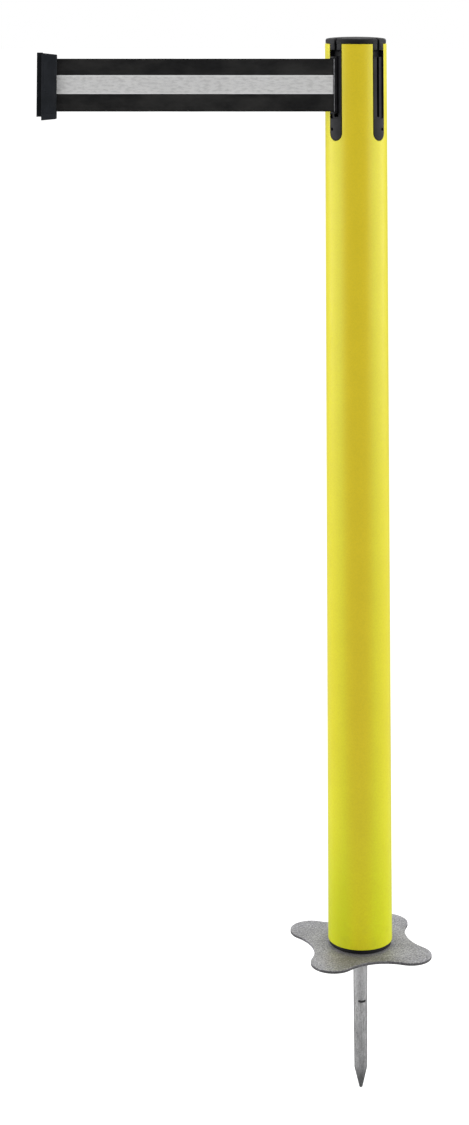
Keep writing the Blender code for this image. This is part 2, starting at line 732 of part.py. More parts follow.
def make_clip(clip):
    """The clip, seen from its belt side at x = 0 to its T-rail at the far end."""
    half = CLIP_T / 2
    end = -CLIP_BODY
    outline = [
        (0, below(71.8 * MM)),
        (0, below(10.2 * MM)),
        (end, below(8.6 * MM)),
        (end, below(73.2 * MM)),
    ]
    body = place("clip_body", sideways(outline, -half, half), GREY_BLACK, 0.5)
    soften(body, 0.7 * MM)
    neck = block(
        (end - RAIL_NECK - 0.1 * MM, -1.4 * MM, below(RAIL_LOW)),
        (end + MM, 1.4 * MM, below(RAIL_TOP)),
    )
    rail = block(
        (end - RAIL_NECK - RAIL_HEAD, -4.6 * MM, below(RAIL_LOW)),
        (end - RAIL_NECK, 4.6 * MM, below(RAIL_TOP)),
    )
    pocket_low, pocket_high = below(BELT_LOW + 0.2 * MM), below(BELT_UP - 0.2 * MM)
    pocket = block((end + 3 * MM, -2.2 * MM, pocket_low), (-2 * MM, half - 1.9 * MM, pocket_high))
    cover_seat = block(
        (end + 1.6 * MM, half - 1.8 * MM, below(70.8 * MM)),
        (-1.2 * MM, half + MM, below(11.2 * MM)),
    )
    slit = block((-3 * MM, -0.6 * MM, pocket_low), (MM, 0.6 * MM, pocket_high))
    panel = block(
        (end + 2.4 * MM, -half - MM, below(60 * MM)),
        (-2.2 * MM, -half + 0.35 * MM, below(17 * MM)),
    )
    neck, rail = helper("clip_neck", neck), helper("clip_rail", rail)
    join(body, neck, rail)
    cutters = [
        helper("clip_pocket", pocket),
        helper("clip_cover_seat", cover_seat),
        helper("clip_slit", slit),
        helper("clip_panel", panel),
    ]
    middle = (end + 0.4 * MM) / 2
    cover = place(
        "clip_cover",
        block(
            (end + 1.9 * MM, half - 1.5 * MM, below(70.5 * MM)),
            (-1.5 * MM, half, below(11.5 * MM)),
        ),
        GREY_BLACK,
        0.5,
    )
    cover_cutters = []
    screws = []
    for name, depth in (("upper", 12.75 * MM), ("lower", 67.9 * MM)):
        hole = rod(0.9 * MM, -half + 2 * MM, half + MM, segments=12)
        seat = rod(1.1 * MM, half - 2 * MM, half + MM, segments=16)
        head, shank, head_end, shank_end = 1.0 * MM, 0.6 * MM, half - 0.9 * MM, -half + 2.4 * MM
        profile = [
            (0, half),
            (head, half),
            (head, head_end),
            (shank, head_end),
            (shank, shank_end),
            (0, shank_end),
        ]
        screw = turned(f"clip_screw_{name}", profile, BRIGHT, 0.35, 1.0, segments=16)
        screws.append(screw)
        screw.location = (middle, 0, below(depth))
        screw.rotation_euler.x = -math.pi / 2
        for made, shape in ((cutters, hole), (cover_cutters, seat)):
            drill = helper(f"clip_drill_{name}_{len(made)}", shape)
            drill.location = screw.location
            drill.rotation_euler = screw.rotation_euler
            made.append(drill)
    cut(body, *cutters)
    cut(cover, *cover_cutters)
    pin_x = end + 5.4 * MM
    pin_r = 0.8 * MM
    pin_body = rod(pin_r, pocket_low + GAP, pocket_high - GAP, (pin_x, 0), 16)
    pin = place("belt_anchor_pin", pin_body, BRIGHT, 0.3, 1.0)
    around = pin_r + GAP + BELT_T / 2
    path = [(-1.1 * MM, 0), (pin_x + 2.6 * MM, 0)]
    path += arc((pin_x, 0), around, math.radians(60), math.radians(300), 14)
    loop = raised(flat(ribbon(path, BELT_T), BELT_LOW - BELT_UP), below(BELT_LOW))
    belt_end = place("belt_end_loop", loop, BLACK, 0.8)
    for piece in (body, cover, pin, belt_end, neck, rail, *screws, *cutters, *cover_cutters):
        piece.parent = clip


def build():
    make_base_plate()
    make_ground_spike()
    make_spike_weld()
    make_bottom_plug()
    make_post_tube()
    make_receivers()
    make_belt_exit_guide()
    make_top_cap()
    make_axle()
    make_cassette()
    reel_axis = anchor("reel_axis", (0, 0, 0))
    make_reel(reel_axis)
    make_power_spring()
    make_brake_shoe("brake_shoe_right", 0, reel_axis)
    make_brake_shoe("brake_shoe_left", math.pi, reel_axis)
    make_belt_inner()
    belt_pivot = anchor("belt_pivot", (*PIVOT, 0))
    make_belt_webbing(belt_pivot)
    clip_origin = anchor("clip_origin", (CLIP_X - PIVOT[0], 0, 0), belt_pivot)
    make_clip(clip_origin)


build()
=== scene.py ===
"""Looks for the retractable-belt barrier post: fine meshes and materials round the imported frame."""

import json
import math

import bmesh
import bpy
import numpy as np
from mathutils import Matrix, Vector, noise

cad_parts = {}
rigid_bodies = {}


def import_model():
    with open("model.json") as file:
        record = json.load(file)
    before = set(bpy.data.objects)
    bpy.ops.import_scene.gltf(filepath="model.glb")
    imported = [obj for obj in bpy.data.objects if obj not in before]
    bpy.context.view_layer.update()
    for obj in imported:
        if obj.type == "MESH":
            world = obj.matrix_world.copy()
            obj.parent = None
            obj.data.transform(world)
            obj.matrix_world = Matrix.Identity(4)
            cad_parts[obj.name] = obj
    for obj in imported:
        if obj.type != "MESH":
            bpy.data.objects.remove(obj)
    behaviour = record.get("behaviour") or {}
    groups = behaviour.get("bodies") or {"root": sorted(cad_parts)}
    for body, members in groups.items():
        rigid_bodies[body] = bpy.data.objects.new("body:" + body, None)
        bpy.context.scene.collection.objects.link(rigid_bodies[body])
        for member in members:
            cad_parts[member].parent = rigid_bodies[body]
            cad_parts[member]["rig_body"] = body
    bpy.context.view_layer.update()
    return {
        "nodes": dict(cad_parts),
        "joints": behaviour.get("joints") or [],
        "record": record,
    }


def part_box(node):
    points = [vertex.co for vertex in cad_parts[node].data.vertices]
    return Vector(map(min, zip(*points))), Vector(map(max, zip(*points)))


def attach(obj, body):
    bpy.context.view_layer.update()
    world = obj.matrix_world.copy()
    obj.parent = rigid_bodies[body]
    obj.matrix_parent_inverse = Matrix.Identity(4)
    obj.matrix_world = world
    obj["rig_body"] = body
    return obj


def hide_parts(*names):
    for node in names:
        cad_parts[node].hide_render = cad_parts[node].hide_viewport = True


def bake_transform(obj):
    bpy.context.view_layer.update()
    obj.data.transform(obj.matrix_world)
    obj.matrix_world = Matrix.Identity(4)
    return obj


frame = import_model()

MM = 0.001
GAP = 0.3 * MM

# Places and sizes that the frame gives
JOINTS = {joint["name"]: joint for joint in frame["joints"]}
TUBE_LOW, TUBE_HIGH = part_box("post_tube")
TUBE_R, TUBE_TOP, TUBE_BOTTOM = TUBE_HIGH.x, TUBE_HIGH.z, TUBE_LOW.z
BELT_LOW, BELT_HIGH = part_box("belt_webbing")
BELT_MIDDLE = (BELT_LOW + BELT_HIGH) / 2
PLATE_LOW, PLATE_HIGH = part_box("base_plate")
GROUND, PLATE_TOP = PLATE_LOW.z, PLATE_HIGH.z
CLIP_LOW, CLIP_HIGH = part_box("clip_body")
PIVOT = Vector(JOINTS["belt_swing"]["pos_m"])

# Head: four slots, one every quarter turn, of which the front left one is the belt's exit
SLOT_W = 15.4 * MM
TURN_STEPS = 80  # flats round a turned wall, so wide that no slot's edge falls close to the end of one
SLOT_DEPTH = 93 * MM
EXIT = math.radians(225)
RECEIVERS = {
    "receiver_front_right": (math.radians(315), 1),
    "receiver_back_right": (math.radians(45), -1),
    "receiver_back_left": (math.radians(135), 1),
}
SLOT_ANGLES = (EXIT, *(angle for angle, side in RECEIVERS.values()))
TUBE_WALL = 3.9 * MM
ROLL_R = 17.4 * MM  # of the wound belt, where the drawn-out belt leaves it
# depths below the tube's top: the receivers' lips, and the small hole under them
LIPS_TOP = 12.6 * MM
DETENT_DEPTH = 82 * MM
# the notch ground across the spike's front
NOTCH_BELOW_PLATE = 49.3 * MM
NOTCH_R = 1.2 * MM
NOTCH_DISTANCE = 5.75 * MM


def below(depth):
    """The height that is this far below the tube's top."""
    return TUBE_TOP - depth


# ---------------------------------------------------------------- mesh tools


def new_object(name, mesh):
    obj = bpy.data.objects.new(name, mesh)
    bpy.context.scene.collection.objects.link(obj)
    return obj


def mesh_of(shape, name="shape"):
    mesh = bpy.data.meshes.new(name)
    shape.to_mesh(mesh)
    shape.free()
    return mesh


def box(low, high):
    shape = bmesh.new()
    bmesh.ops.create_cube(shape, size=1)
    size = [h - l for l, h in zip(low, high)]
    middle = [(h + l) / 2 for l, h in zip(low, high)]
    fit = Matrix.Translation(middle) @ Matrix.Diagonal((*size, 1))
    bmesh.ops.transform(shape, matrix=fit, verts=shape.verts)
    return mesh_of(shape)


def rod(radius, low, high, centre=(0, 0), segments=48):
    """An upright cylinder."""
    shape = bmesh.new()
    bmesh.ops.create_cone(
        shape, cap_ends=True, segments=segments, radius1=radius, radius2=radius, depth=high - low
    )
    bmesh.ops.translate(shape, vec=(*centre, (low + high) / 2), verts=shape.verts)
    return mesh_of(shape)


def lathe(profile, segments=160, ring=False):
    """Turns a profile of (radius, height) points round Z. It runs down the outer side."""
    shape = bmesh.new()
    points = [shape.verts.new((r, 0, z)) for r, z in profile]
    edges = [shape.edges.new(pair) for pair in zip(points, points[1:])]
    if ring:
        edges.append(shape.edges.new((points[-1], points[0])))
    bmesh.ops.spin(
        shape,
        geom=points + edges,
        axis=(0, 0, 1),
        cent=(0, 0, 0),
        angle=2 * math.pi,
        steps=segments,
        use_merge=True,
    )
    bmesh.ops.remove_doubles(shape, verts=shape.verts, dist=0.000001)
    bmesh.ops.recalc_face_normals(shape, faces=shape.faces)
    return mesh_of(shape)


def prism(outline, low, high):
    """An outline in X and Y as an upright solid between two heights."""
    shape = bmesh.new()
    face = shape.faces.new([shape.verts.new((x, y, low)) for x, y in outline])
    made = bmesh.ops.extrude_face_region(shape, geom=[face])
    top = [item for item in made["geom"] if isinstance(item, bmesh.types.BMVert)]
    bmesh.ops.translate(shape, vec=(0, 0, high - low), verts=top)
    bmesh.ops.recalc_face_normals(shape, faces=shape.faces)
    return mesh_of(shape)


def outward(outline, near, far):
    """An outline in Y and Z as a solid that runs along X from near to far."""
    mesh = prism(outline, near, far)
    mesh.transform(Matrix(((0, 0, 1, 0), (1, 0, 0, 0), (0, 1, 0, 0), (0, 0, 0, 1))))
    return mesh


def lengthways(outline, near, far):
    """An outline in X and Z as a solid that runs along Y from near to far."""
    mesh = prism(outline, near, far)
    mesh.transform(Matrix(((1, 0, 0, 0), (0, 0, 1, 0), (0, 1, 0, 0), (0, 0, 0, 1))))
    mesh.flip_normals()
    return mesh


def turned(mesh, angle):
    mesh.transform(Matrix.Rotation(angle, 4, "Z"))
    return mesh


def moved(mesh, x=0, y=0, z=0):
    mesh.transform(Matrix.Translation((x, y, z)))
    return mesh


def arc(centre, radius, start, end, steps):
    """Points on an arc, both ends included."""
    return [
        (centre[0] + radius * math.cos(a), centre[1] + radius * math.sin(a))
        for a in (start + (end - start) * i / steps for i in range(steps + 1))
    ]


def settle(obj):
    """Applies the object's modifiers to its mesh."""
    bpy.context.view_layer.update()
    graph = bpy.context.evaluated_depsgraph_get()
    mesh = bpy.data.meshes.new_from_object(obj.evaluated_get(graph))
    obj.modifiers.clear()
    obj.data = mesh
    return obj


def combine(obj, operation, *meshes):
    helpers = [new_object("helper", mesh) for mesh in meshes]
    for helper in helpers:
        step = obj.modifiers.new("boolean", "BOOLEAN")
        step.operation = operation
        step.solver = "EXACT"
        step.object = helper
    settle(obj)
    for helper in helpers:
        bpy.data.objects.remove(helper)
    return obj


def carve(obj, *meshes):
    return combine(obj, "DIFFERENCE", *meshes)


def fuse(obj, *meshes):
    return combine(obj, "UNION", *meshes)


def clean(obj, angle=0.5):
    """Merges points that a Boolean left together, and faces that lie in one plane."""
    shape = bmesh.new()
    shape.from_mesh(obj.data)
    bmesh.ops.remove_doubles(shape, verts=shape.verts, dist=0.00001)
    bmesh.ops.dissolve_degenerate(shape, edges=shape.edges, dist=0.00001)
    bmesh.ops.dissolve_limit(
        shape, angle_limit=math.radians(angle), verts=shape.verts, edges=shape.edges
    )
    shape.to_mesh(obj.data)
    shape.free()
    return obj


def round_edges(obj, width, segments=3, angle=32):
    bevel = obj.modifiers.new("round edges", "BEVEL")
    bevel.width = width
    bevel.segments = segments
    bevel.limit_method = "ANGLE"
    bevel.angle_limit = math.radians(angle)
    bevel.use_clamp_overlap = False
    return settle(obj)


def smooth(obj, angle=38):
    obj.data.shade_smooth()
    obj.data.set_sharp_from_angle(angle=math.radians(angle))
    return obj


def round_normals(obj, *radii):
    """Gives the outer walls of a turned piece the normals of true cylinders, beside any opening."""
    mesh = obj.data
    normals = [Vector(corner.vector) for corner in mesh.corner_normals]
    for face in mesh.polygons:
        for corner in face.loop_indices:
            place = mesh.vertices[mesh.loops[corner].vertex_index].co
            outwards = Vector((place.x, place.y, 0)).normalized()
            on_wall = any(abs(place.to_2d().length - radius) < 0.05 * MM for radius in radii)
            if on_wall and face.normal.dot(outwards) > 0.99:
                normals[corner] = outwards
    mesh.normals_split_custom_set(normals)
    return obj


def show(obj, finish, body, *nodes):
    """Gives a finished piece its material, and its place on a body in the stead of CAD nodes."""
    material, slot = finish
    obj.data.materials.clear()
    obj.data.materials.append(material)
    if body:
        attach(obj, body)
    if nodes:
        obj.name = f"{nodes[0]}_fine"
        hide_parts(*nodes)
    return obj


# ---------------------------------------------------------------- material tools


class Finish:
    """A procedural material, made node by node. Lengths are real lengths in metres."""

    def __init__(self, name):
        self.material = bpy.data.materials.new(name)
        self.material.use_nodes = True
        self.tree = self.material.node_tree
        self.surface = self.tree.nodes["Principled BSDF"]
        self.place = self.node("ShaderNodeTexCoord").outputs["Object"]

    @classmethod
    def reopened(cls, material):
        """A finish for adding nodes to a material that another function made."""
        finish = cls.__new__(cls)
        finish.material = material
        finish.tree = material.node_tree
        finish.surface = finish.tree.nodes["Principled BSDF"]
        finish.place = finish.node("ShaderNodeTexCoord").outputs["Object"]
        return finish

    def node(self, kind, **settings):
        made = self.tree.nodes.new(kind)
        for name, value in settings.items():
            setattr(made, name, value)
        return made

    def feed(self, value, socket):
        """Links an output to a socket, or sets the socket to a plain value."""
        if isinstance(value, bpy.types.NodeSocket):
            self.tree.links.new(value, socket)
        else:
            socket.default_value = value

    def set(self, **values):
        """Sets the surface's inputs, such as Base_Color."""
        for name, value in values.items():
            self.feed(value, self.surface.inputs[name.replace("_", " ")])

    def maths(self, operation, a, b=0.0):
        made = self.node("ShaderNodeMath", operation=operation)
        self.feed(a, made.inputs[0])
        self.feed(b, made.inputs[1])
        return made.outputs[0]

    def axes(self, place=None):
        """The X, Y and Z of a place as three outputs."""
        split = self.node("ShaderNodeSeparateXYZ")
        self.feed(place or self.place, split.inputs[0])
        return split.outputs

    def point(self, x, y, z):
        made = self.node("ShaderNodeCombineXYZ")
        for value, socket in zip((x, y, z), made.inputs):
            self.feed(value, socket)
        return made.outputs[0]

    def from_axis(self, centre_x=0.0, centre_y=0.0):
        """How far out a place is from an upright axis."""
        x, y, z = self.axes()
        if centre_x or centre_y:
            x, y = self.maths("SUBTRACT", x, centre_x), self.maths("SUBTRACT", y, centre_y)
        length = self.node("ShaderNodeVectorMath", operation="LENGTH")
        self.feed(self.point(x, y, 0.0), length.inputs[0])
        return length.outputs["Value"]

    def stretched(self, x, y, z, place=None):
        made = self.node("ShaderNodeVectorMath", operation="MULTIPLY")
        self.feed(place or self.place, made.inputs[0])
        made.inputs[1].default_value = (x, y, z)
        return made.outputs[0]

    def noise(self, size, detail=3.0, place=None, rough=0.55):
        """Noise whose features are about this size, from 0 to 1."""
        made = self.node("ShaderNodeTexNoise")
        self.feed(place or self.place, made.inputs["Vector"])
        made.inputs["Scale"].default_value = 1 / size
        made.inputs["Detail"].default_value = detail
        made.inputs["Roughness"].default_value = rough
        return made.outputs["Fac"]

    def span(self, value, low, high, to_low=0.0, to_high=1.0):
        """Maps low..high smoothly on to to_low..to_high."""
        made = self.node("ShaderNodeMapRange", interpolation_type="SMOOTHSTEP")
        for number, item in enumerate((value, low, high, to_low, to_high)):
            self.feed(item, made.inputs[number])
        return made.outputs[0]

    def mix(self, share, first, second, blend="MIX"):
        made = self.node("ShaderNodeMix", data_type="RGBA", blend_type=blend)
        self.feed(share, made.inputs[0])
        for value, socket in ((first, made.inputs[6]), (second, made.inputs[7])):
            self.feed((*value, 1) if isinstance(value, tuple) else value, socket)
        return made.outputs[2]

    def bump(self, height, depth, under=None):
        """A bump as deep as this, from a height between 0 and 1."""
        made = self.node("ShaderNodeBump")
        made.inputs["Strength"].default_value = 1.0
        made.inputs["Distance"].default_value = depth
        self.feed(height, made.inputs["Height"])
        if under:
            self.feed(under, made.inputs["Normal"])
        return made.outputs[0]


# ---------------------------------------------------------------- materials


def yellow_pipe():
    """Extruded pipe: a warm lemon yellow, greener at the foot, with faint draw lines and scuffs; a painted
    highlight colour towards its outline and painted shade on the foot's sides.
    """
    paint = Finish("yellow_pipe")
    x, _, z = paint.axes()
    height = paint.span(z, TUBE_BOTTOM, TUBE_BOTTOM + 0.22)
    tone = paint.mix(height, (0.885, 0.785, 0.020), (0.905, 0.705, 0.020))
    # painted highlight colour: towards its outline, on its lit sides, the pipe turns from a warm to a lemon
    # yellow
    facing = paint.node("ShaderNodeLayerWeight").outputs["Facing"]
    tone = paint.mix(paint.span(facing, 0.02, 0.20), tone, (0.96, 1.13, 1.0), "MULTIPLY")
    # painted shade: the foot's sides, the left more than the right, are darker and greener
    foot = paint.span(z, TUBE_BOTTOM + 0.01, TUBE_BOTTOM + 0.12, 1, 0)
    left = paint.span(x, -4 * MM, -22 * MM, 0.0, 0.75)
    right = paint.span(x, 4 * MM, 22 * MM, 0.0, 0.35)
    foot_side_shade = paint.maths("MULTIPLY", foot, paint.maths("ADD", left, right))
    tone = paint.mix(foot_side_shade, tone, (0.60, 0.66, 0.012))
    cloud = paint.span(paint.noise(38 * MM, 4), 0.3, 0.7)
    tone = paint.mix(paint.maths("MULTIPLY", cloud, 0.10), tone, (0.60, 0.47, 0.010))
    lines = paint.noise(1.1 * MM, 2, paint.stretched(1, 1, 0.004))
    tone = paint.mix(paint.maths("MULTIPLY", lines, 0.05), tone, (0.95, 0.88, 0.12))
    mottle = paint.span(paint.noise(1.4 * MM, 3), 0.36, 0.66)
    tone = paint.mix(paint.maths("MULTIPLY", mottle, 0.19), tone, (0.66, 0.53, 0.012))
    speck = paint.span(paint.noise(0.7 * MM, 2), 0.66, 0.80)
    tone = paint.mix(paint.maths("MULTIPLY", speck, 0.16), tone, (0.42, 0.34, 0.02))
    splash = paint.span(z, TUBE_BOTTOM, TUBE_BOTTOM + 0.05, 1, 0)
    grime = paint.maths("MULTIPLY", splash, paint.span(paint.noise(9 * MM, 5), 0.42, 0.75))
    tone = paint.mix(paint.maths("MULTIPLY", grime, 0.10), tone, (0.30, 0.26, 0.06))
    scuff = paint.span(paint.noise(2.4 * MM, 4, paint.stretched(1, 1, 0.10)), 0.62, 0.74)
    rough = paint.span(paint.noise(22 * MM, 3), 0.2, 0.8, 0.30, 0.38)
    rough = paint.maths("ADD", rough, paint.maths("MULTIPLY", scuff, 0.16))
    peel = paint.bump(paint.noise(2.2 * MM, 2), 0.012 * MM)
    paint.set(
        Base_Color=tone,
        Roughness=paint.maths("ADD", rough, paint.maths("MULTIPLY", grime, 0.1)),
        Normal=paint.bump(lines, 0.010 * MM, peel),
        Specular_IOR_Level=paint.span(z, TUBE_BOTTOM, TUBE_BOTTOM + 0.12, 0.18, 0.45),
    )
    return paint.material, "tube_yellow"


def moulded_plastic(name, slot, dark, light, rough, grain, depth):
    """Textured moulding: fine spark-erosion grain, with a little cloudiness and rubbed high spots."""
    paint = Finish(name)
    cloud = paint.span(paint.noise(14 * MM, 4), 0.3, 0.72)
    fine = paint.noise(grain, 3)
    tone = paint.mix(paint.maths("MULTIPLY", cloud, 0.7), dark, light)
    tone = paint.mix(paint.maths("MULTIPLY", paint.span(fine, 0.5, 0.75), 0.3), tone, light)
    rubbed = paint.span(paint.noise(5 * MM, 5), 0.58, 0.72)
    paint.set(
        Base_Color=tone,
        Roughness=paint.maths("SUBTRACT", rough, paint.maths("MULTIPLY", rubbed, 0.12)),
        Normal=paint.bump(fine, depth),
        Specular_IOR_Level=0.22,
    )
    return paint.material, slot


def black_moulding(name):
    dark, light = (0.005, 0.005, 0.006), (0.020, 0.019, 0.024)
    return moulded_plastic(name, "black_plastic", dark, light, 0.50, 0.8 * MM, 0.06 * MM)


def receiver_moulding():
    """The black moulding, dull and dark in the channel and the detent hole, where no light reaches."""
    material, slot = black_moulding("receiver_moulding")
    paint = Finish.reopened(material)
    z = paint.axes()[2]
    from_axis = paint.from_axis()
    channel = paint.span(from_axis, 26.4 * MM, 27.6 * MM, 1, 0)
    under_lips_top = paint.span(z, below(LIPS_TOP + 0.6 * MM), below(LIPS_TOP - 0.2 * MM), 0.9, 0)
    channel = paint.maths("MULTIPLY", channel, under_lips_top)
    from_hole = paint.maths("ABSOLUTE", paint.maths("SUBTRACT", z, below(DETENT_DEPTH)))
    by_hole = paint.span(from_hole, 2.2 * MM, 2.6 * MM, 1, 0)
    hole = paint.maths("MULTIPLY", by_hole, paint.span(from_axis, 29.6 * MM, 30.3 * MM, 1, 0))
    hidden = paint.maths("MAXIMUM", channel, hole)
    tone = paint.surface.inputs["Base Color"].links[0].from_socket
    paint.set(
        Base_Color=paint.mix(hidden, tone, (0.001, 0.001, 0.001)),
        Specular_IOR_Level=paint.span(hidden, 0, 1, 0.22, 0.02),
    )
    return material, slot


def webbing(name, across, along):
    """Woven belt: black with a pale grey band, each edge of it marked by a lighter thread.

    across is the height in the belt's width and along the distance down its length, as functions."""
    paint = Finish(name)
    rise = across(paint)
    run = along(paint)
    half_band = 0.177 * (BELT_HIGH.z - BELT_LOW.z)
    from_middle = paint.maths("ABSOLUTE", paint.maths("SUBTRACT", rise, BELT_MIDDLE.z + 0.5 * MM))
    edge = 0.25 * MM
    band = paint.span(from_middle, half_band - edge, half_band + edge, 1, 0)
    border = paint.maths(
        "MULTIPLY",
        paint.span(from_middle, half_band - 1.2 * MM, half_band - 0.9 * MM),
        band,
    )
    place = paint.point(run, 0.0, rise)
    pitch_along, pitch_across = 0.62 * MM, 0.55 * MM
    warp = paint.maths("SINE", paint.maths("MULTIPLY", rise, 2 * math.pi / pitch_across))
    slant = paint.maths("DIVIDE", rise, 1.1 * MM)
    twill = paint.maths("ADD", paint.maths("DIVIDE", run, pitch_along), slant)
    weft = paint.maths("SINE", paint.maths("MULTIPLY", twill, 2 * math.pi))
    weave = paint.maths("ADD", paint.maths("MULTIPLY", warp, 0.28), paint.maths("MULTIPLY", weft, 0.22))
    weave = paint.maths("ADD", weave, 0.5)
    fuzz = paint.noise(0.35 * MM, 3, place)
    slub = paint.noise(2.2 * MM, 3, paint.stretched(0.35, 1, 1, place))
    wave = paint.noise(26 * MM, 3, paint.stretched(0.5, 1, 1, place))
    black = paint.mix(paint.span(weave, 0.1, 0.95), (0.004, 0.004, 0.0045), (0.0145, 0.0145, 0.0155))
    hairs = paint.maths("MULTIPLY", paint.span(fuzz, 0.5, 0.8), 0.30)
    black = paint.mix(hairs, black, (0.030, 0.030, 0.032))
    black = paint.mix(paint.span(slub, 0.38, 0.68, 0.0, 0.6), black, (0.004, 0.004, 0.004))
    grey = paint.mix(paint.span(weave, 0.0, 0.8), (0.66, 0.66, 0.66), (0.91, 0.91, 0.905))
    grey = paint.mix(paint.span(slub, 0.40, 0.70, 0.0, 0.5), grey, (0.50, 0.50, 0.50))
    grey = paint.mix(paint.maths("MULTIPLY", border, 0.85), grey, (1.0, 1.0, 1.0))
    tone = paint.mix(band, black, grey)
    tone = paint.mix(paint.span(wave, 0.35, 0.7, 0.0, 0.07), tone, (0.30, 0.29, 0.27))
    paint.set(
        Base_Color=tone,
        Roughness=paint.span(weave, 0, 1, 0.88, 0.66),
        Normal=paint.bump(weave, 0.10 * MM, paint.bump(fuzz, 0.04 * MM)),
        Sheen_Weight=0.05,
        Sheen_Roughness=0.5,
        Specular_IOR_Level=0.18,
    )
    return paint.material, "webbing"


def straight_webbing():
    """Webbing whose length is measured outwards from the belt's swing axis, so it holds at any pose."""

    def along(paint):
        return paint.from_axis(PIVOT.x, PIVOT.y)

    return webbing("webbing", lambda paint: paint.axes()[2], along)


def wound_webbing():
    """The same webbing on the roll, where its length runs round the post's axis."""

    def along(paint):
        x, y, _ = paint.axes()
        angle = paint.maths("ARCTAN2", y, x)
        return paint.maths("MULTIPLY", angle, ROLL_R)

    return webbing("wound_webbing", lambda paint: paint.axes()[2], along)


def rolled_steel():
    """Mill-finish sheet: a fine rolling grain and cloudy patches, with a painted brown reflection of the
    tube, painted shadow round and in front of the tube, and darker cut edges.
    """
    paint = Finish("rolled_steel")
    x, y, _ = paint.axes()
    grain = paint.noise(0.5 * MM, 3, paint.stretched(0.05, 1, 1))
    scale = paint.noise(1.6 * MM, 4, rough=0.7)
    cloud = paint.span(paint.noise(16 * MM, 5), 0.3, 0.7)
    tone = paint.mix(cloud, (0.29, 0.292, 0.308), (0.395, 0.397, 0.415))
    tone = paint.mix(paint.maths("MULTIPLY", paint.span(grain, 0.35, 0.7), 0.35), tone, (0.22, 0.22, 0.228))
    tone = paint.mix(paint.span(scale, 0.50, 0.62, 0.0, 0.7), tone, (0.13, 0.13, 0.136))
    tone = paint.mix(paint.span(scale, 0.50, 0.38, 0.0, 0.6), tone, (0.72, 0.72, 0.73))
    # painted reflection of the yellow tube: a patchy brown on the plate in front of it, to the left
    patchy = paint.maths("MULTIPLY", paint.noise(11 * MM, 3), 16 * MM)
    reach = paint.maths("ADD", paint.from_axis(-20 * MM, -36 * MM), patchy)
    tube_reflection = paint.span(reach, 14 * MM, 38 * MM, 1, 0)
    tone = paint.mix(paint.maths("MULTIPLY", tube_reflection, 0.22), tone, (0.26, 0.215, 0.17))
    scratch = paint.span(paint.noise(3 * MM, 2, paint.stretched(1, 0.04, 1)), 0.66, 0.70)
    rough = paint.span(grain, 0.2, 0.8, 0.42, 0.56)
    side = paint.maths("ABSOLUTE", paint.axes(paint.node("ShaderNodeNewGeometry").outputs["Normal"])[2])
    cut_edge = paint.span(side, 0.25, 0.6, 1, 0)
    from_axis = paint.from_axis()
    # painted contact shadow round the tube's foot, stronger in front
    ring = paint.span(from_axis, TUBE_R - 2 * MM, TUBE_R + 16 * MM, 1, 0)
    ring = paint.maths("MULTIPLY", ring, paint.span(y, -18 * MM, -34 * MM, 0.25, 0.75))
    tone = paint.mix(ring, tone, (0.075, 0.07, 0.066))
    # painted shadow: the plate is darker and browner in front of the tube
    beside = paint.maths("ABSOLUTE", paint.maths("SUBTRACT", x, 5 * MM))
    near_middle = paint.span(beside, 12 * MM, 50 * MM, 1, 0)
    front = paint.maths("MULTIPLY", paint.span(y, -30 * MM, -40 * MM), near_middle)
    tone = paint.mix(paint.maths("MULTIPLY", front, 0.48), tone, (0.052, 0.047, 0.044))
    tone = paint.mix(1.0, tone, (1.0, 0.992, 1.035), "MULTIPLY")
    # the cut edges are darker, more so out at the lobes
    dark_cut_edge = paint.maths("MULTIPLY", cut_edge, paint.span(from_axis, 46 * MM, 62 * MM, 0.35, 0.75))
    tone = paint.mix(dark_cut_edge, tone, (0.07, 0.068, 0.065))
    paint.set(
        Base_Color=tone,
        Metallic=0.30,
        Specular_IOR_Level=0.35,
        Roughness=paint.maths("ADD", rough, paint.maths("MULTIPLY", scratch, -0.1)),
        Normal=paint.bump(grain, 0.012 * MM, paint.bump(paint.noise(3 * MM, 4), 0.03 * MM)),
    )
    return paint.material, "plate_steel"


